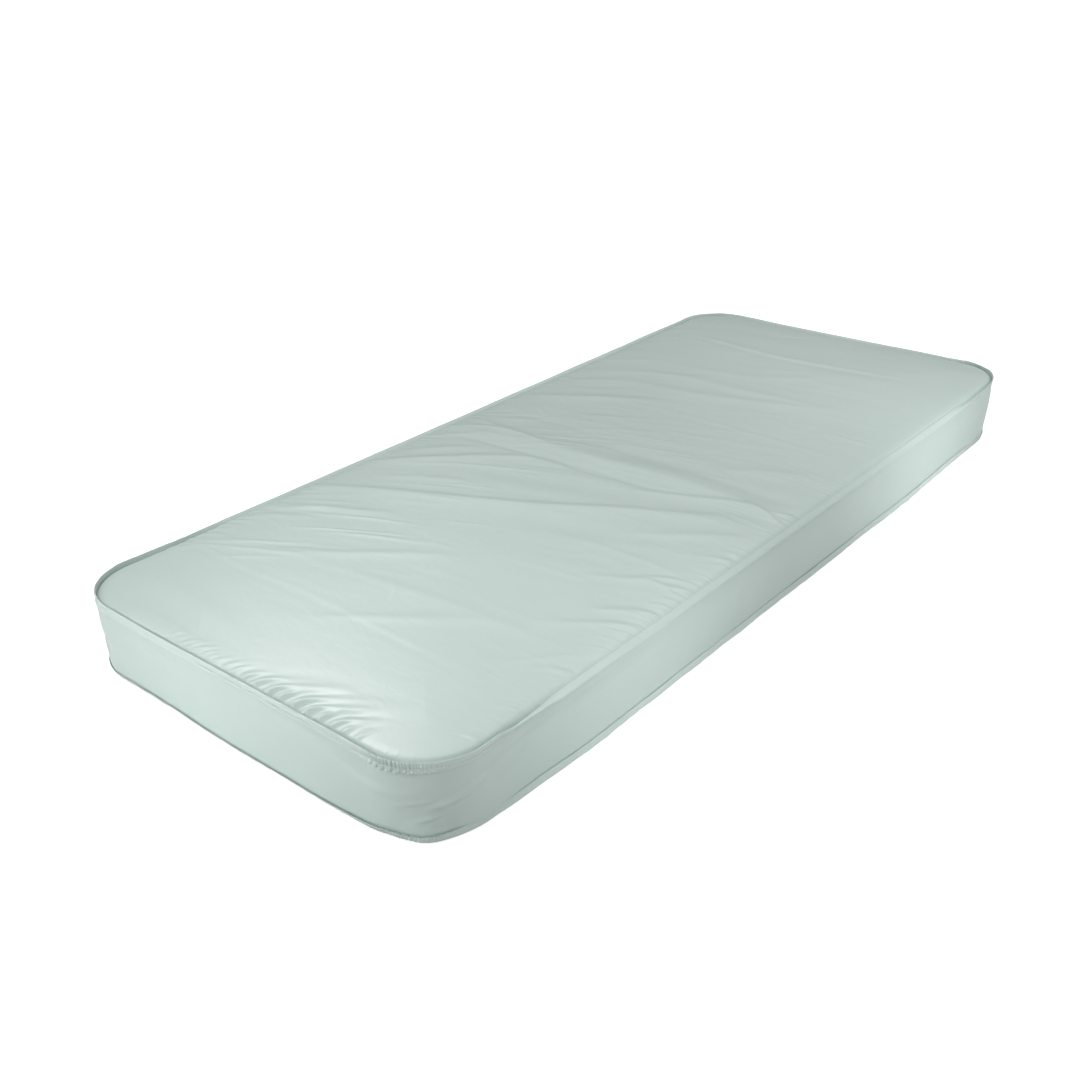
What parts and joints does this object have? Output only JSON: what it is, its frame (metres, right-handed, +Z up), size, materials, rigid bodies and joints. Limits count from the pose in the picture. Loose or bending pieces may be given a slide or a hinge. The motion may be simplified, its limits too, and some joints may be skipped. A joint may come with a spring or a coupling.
{
  "type": "pressure relief mattress",
  "caption": "Hospital bed foam mattress: wipe-clean coated cover with taped edges, zip, fire barrier and a zoned castellated foam core.",
  "frame": {"origin": "centre of the underside, on the plane the mattress rests on", "axes": "+X towards the head end, +Y towards the side with the zip, +Z up"},
  "size_m": [2.1358, 0.9205, 0.158],
  "materials": {
    "cover": "polyurethane-coated stretch fabric, satin, wipe-clean",
    "edge_tape": "folded strip of the same coated fabric, satin",
    "thread": "bonded polyester thread",
    "label": "blank woven satin ribbon",
    "zip_tape": "woven polyester tape",
    "zip_coil": "nylon coil",
    "zip_metal": "nickel-plated zinc",
    "fire_sock": "knitted glass and cotton fibre sock, off-white",
    "firm_foam": "firm high-resilience polyurethane foam, open cell",
    "zone_foam": "soft high-resilience polyurethane foam, open cell",
    "visco_foam": "viscoelastic polyurethane foam, fine open cell"
  },
  "bodies": {
    "mattress": {"top_panel": "cover", "base_panel": "cover", "side_border": "cover", "zip_panel_upper": "cover", "zip_panel_lower": "cover", "zip_end_patch_head": "cover", "zip_end_patch_foot": "cover", "top_edge_tape": "edge_tape", "base_edge_tape": "edge_tape", "top_tape_stitching": "thread", "base_tape_stitching": "thread", "care_label": "label", "zip_tape_upper": "zip_tape", "zip_tape_lower": "zip_tape", "zip_coil_upper": "zip_coil", "zip_coil_lower": "zip_coil", "zip_top_stop_upper": "zip_metal", "zip_top_stop_lower": "zip_metal", "zip_bottom_stop": "zip_metal", "fire_barrier_sock": "fire_sock", "base_foam": "firm_foam", "bolster_zip_side": "firm_foam", "bolster_plain_side": "firm_foam", "zone_foam_heel": "zone_foam", "zone_foam_leg": "zone_foam", "zone_foam_torso": "zone_foam", "zone_foam_head": "zone_foam", "topper_foam": "visco_foam"},
    "zip_slider": {"zip_slider_body": "zip_metal"},
    "zip_pull": {"zip_pull_tab": "zip_metal"}
  },
  "joints": [
    {"name": "zip_slide", "type": "slide", "parent": "mattress", "child": "zip_slider", "axis": [-1, 0, 0], "range_m": [0, 1.69]},
    {"name": "pull_tab_hinge", "type": "hinge", "parent": "zip_slider", "child": "zip_pull", "pos_m": [0.845, 0.4603, 0.06], "axis": [0, 0, 1], "range_deg": [-175, 0]}
  ]
}
